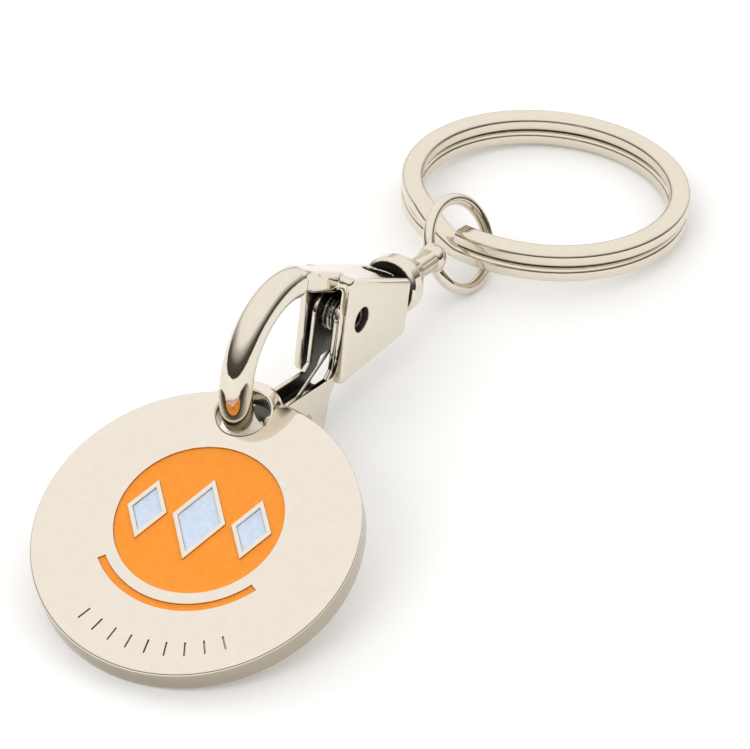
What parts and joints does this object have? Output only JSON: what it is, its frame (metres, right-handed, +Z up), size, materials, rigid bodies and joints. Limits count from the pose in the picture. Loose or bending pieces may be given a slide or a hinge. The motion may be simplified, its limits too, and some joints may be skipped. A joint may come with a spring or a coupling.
{
  "type": "coin holder keyring",
  "caption": "Polished snap hook with a sprung gate, a round enamelled coin hanging on it, a swivel eye and a split ring for keys.",
  "frame": {"origin": "middle of the underside of the keyring as it lies on a table", "axes": "+X from the coin along the hook to the split ring, +Z up, +Y to the left when looking along +X"},
  "size_m": [0.0782, 0.025, 0.017],
  "materials": {
    "polished_nickel": "polished nickel plate on cast zinc",
    "plated_steel": "nickel plated spring steel",
    "orange_enamel": "glossy soft enamel",
    "pale_enamel": "glossy soft enamel"
  },
  "bodies": {
    "hook": {"hook_body": "polished_nickel", "gate_rivet": "polished_nickel", "gate_spring": "plated_steel"},
    "gate": {"gate": "polished_nickel"},
    "coin": {"coin_disc": "polished_nickel", "orange_enamel": "orange_enamel", "orange_enamel_bar": "orange_enamel", "pale_enamel_left": "pale_enamel", "pale_enamel_centre": "pale_enamel", "pale_enamel_right": "pale_enamel"},
    "swivel": {"swivel_eye": "polished_nickel"},
    "ring": {"split_ring": "plated_steel"}
  },
  "joints": [
    {"name": "gate_hinge", "type": "hinge", "parent": "hook", "child": "gate", "pos_m": [-0.00436, 0.00183, 0.00895], "axis": [0, -1, 0], "range_deg": [0, 25], "stiffness_Nm_per_rad": 0.002, "springref_deg": -22.92},
    {"name": "coin_swing", "type": "hinge", "parent": "hook", "child": "coin", "pos_m": [-0.01266, 0.00183, 0.01004], "axis": [0, 1, 0], "range_deg": [0, 110]},
    {"name": "swivel_turn", "type": "hinge", "parent": "hook", "child": "swivel", "pos_m": [0.01466, 0.00183, 0.00377], "axis": [0.9736, 0, -0.2284], "continuous": true},
    {"name": "ring_swing", "type": "hinge", "parent": "swivel", "child": "ring", "pos_m": [0.01466, 0.00183, 0.00377], "axis": [0, 1, 0], "range_deg": [-90, 90]}
  ]
}
